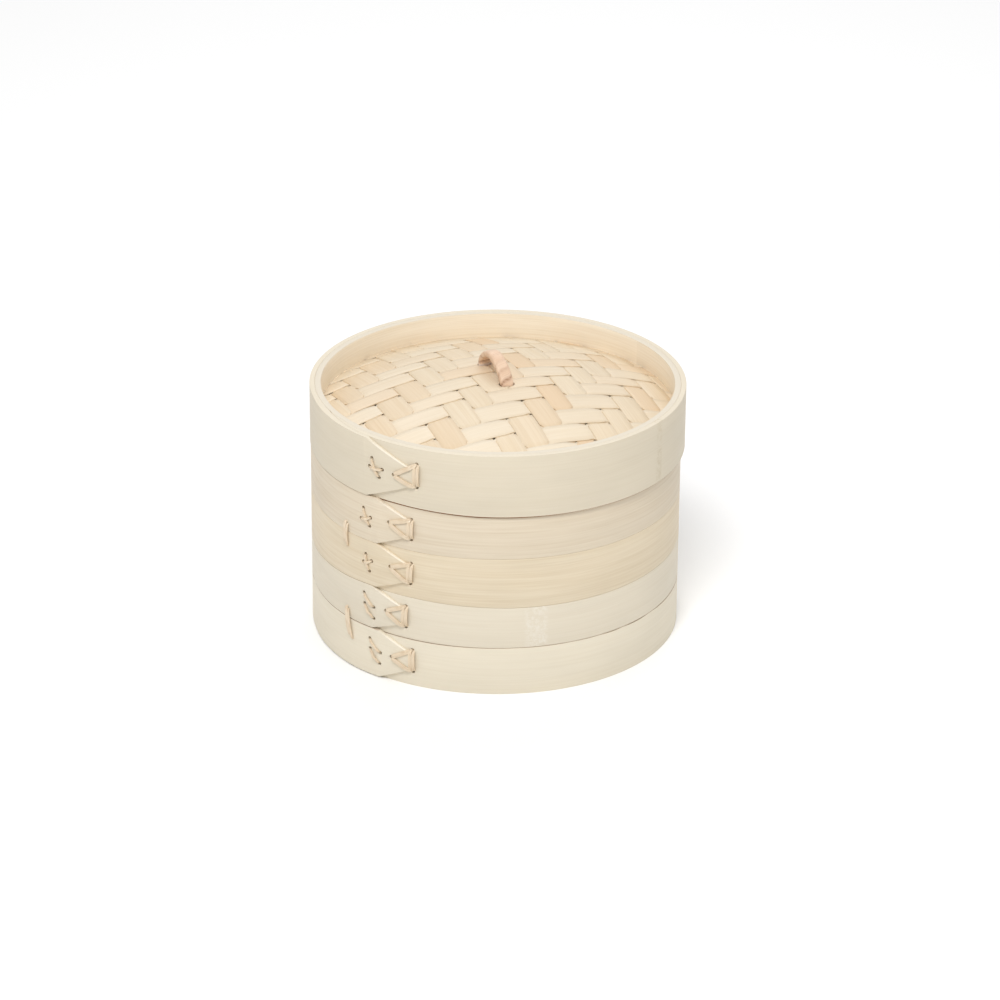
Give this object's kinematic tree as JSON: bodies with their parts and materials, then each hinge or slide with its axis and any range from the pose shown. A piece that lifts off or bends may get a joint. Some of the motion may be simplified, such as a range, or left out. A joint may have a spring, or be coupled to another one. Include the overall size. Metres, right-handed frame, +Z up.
{
  "type": "bamboo steamer",
  "caption": "Round stacking bamboo steamer: tiers of bent, laced bands with slatted floors, under a lift-off lid with a woven domed mat and a cane loop handle.",
  "frame": {"origin": "middle of the lower tier's underside, on the surface that it stands on", "axes": "+Z up along the axis of the tiers, -Y to the front, with the laced laps at the front left, and +X to the right"},
  "size_m": [0.2024, 0.2024, 0.1518],
  "materials": {
    "band_pale": "planed pale bamboo, satin",
    "band_tan": "planed bamboo, a little yellower, satin",
    "hoop": "planed bamboo, satin",
    "slat": "split bamboo, matt",
    "mat": "woven bamboo strips, satin",
    "lining": "woven bamboo strips, matt",
    "cane": "split cane, satin"
  },
  "bodies": {
    "lower_tier": {"lower_tier_lower_band": "band_pale", "lower_tier_upper_band": "band_pale", "lower_tier_inner_hoop": "hoop", "lower_tier_floor_ring": "hoop", "lower_tier_lower_band_point_lacing": "cane", "lower_tier_lower_band_upper_stitch": "cane", "lower_tier_lower_band_lower_stitch": "cane", "lower_tier_upper_band_point_lacing": "cane", "lower_tier_upper_band_upper_stitch": "cane", "lower_tier_upper_band_lower_stitch": "cane", "lower_tier_tie_1": "cane", "lower_tier_tie_2": "cane", "lower_tier_tie_3": "cane", "lower_tier_slat_1": "slat", "lower_tier_slat_2": "slat", "lower_tier_slat_3": "slat", "lower_tier_slat_4": "slat", "lower_tier_slat_5": "slat", "lower_tier_slat_6": "slat", "lower_tier_slat_7": "slat", "lower_tier_slat_8": "slat", "lower_tier_slat_9": "slat", "lower_tier_left_batten": "slat", "lower_tier_right_batten": "slat"},
    "upper_tier": {"upper_tier_lower_band": "band_tan", "upper_tier_upper_band": "band_tan", "upper_tier_inner_hoop": "hoop", "upper_tier_floor_ring": "hoop", "upper_tier_lower_band_point_lacing": "cane", "upper_tier_lower_band_upper_stitch": "cane", "upper_tier_lower_band_lower_stitch": "cane", "upper_tier_upper_band_point_lacing": "cane", "upper_tier_upper_band_upper_stitch": "cane", "upper_tier_upper_band_lower_stitch": "cane", "upper_tier_tie_1": "cane", "upper_tier_tie_2": "cane", "upper_tier_tie_3": "cane", "upper_tier_slat_1": "slat", "upper_tier_slat_2": "slat", "upper_tier_slat_3": "slat", "upper_tier_slat_4": "slat", "upper_tier_slat_5": "slat", "upper_tier_slat_6": "slat", "upper_tier_slat_7": "slat", "upper_tier_slat_8": "slat", "upper_tier_slat_9": "slat", "upper_tier_left_batten": "slat", "upper_tier_right_batten": "slat"},
    "lid": {"lid_outer_hoop": "band_pale", "lid_inner_hoop": "hoop", "lid_seat_ring": "hoop", "lid_woven_mat": "mat", "lid_lining_mat": "lining", "lid_outer_hoop_point_lacing": "cane", "lid_outer_hoop_upper_stitch": "cane", "lid_outer_hoop_lower_stitch": "cane"},
    "handle": {"lid_handle": "cane"}
  },
  "joints": [
    {"name": "upper_tier_lift", "type": "slide", "parent": "lower_tier", "child": "upper_tier", "axis": [0, 0, 1], "range_m": [0, 0.12]},
    {"name": "lid_lift", "type": "slide", "parent": "upper_tier", "child": "lid", "axis": [0, 0, 1], "range_m": [0, 0.12]},
    {"name": "handle_rock", "type": "hinge", "parent": "lid", "child": "handle", "pos_m": [-0.0002, 0.0027, 0.13849], "axis": [0.3746, -0.9272, 0], "range_deg": [-10, 10]}
  ]
}
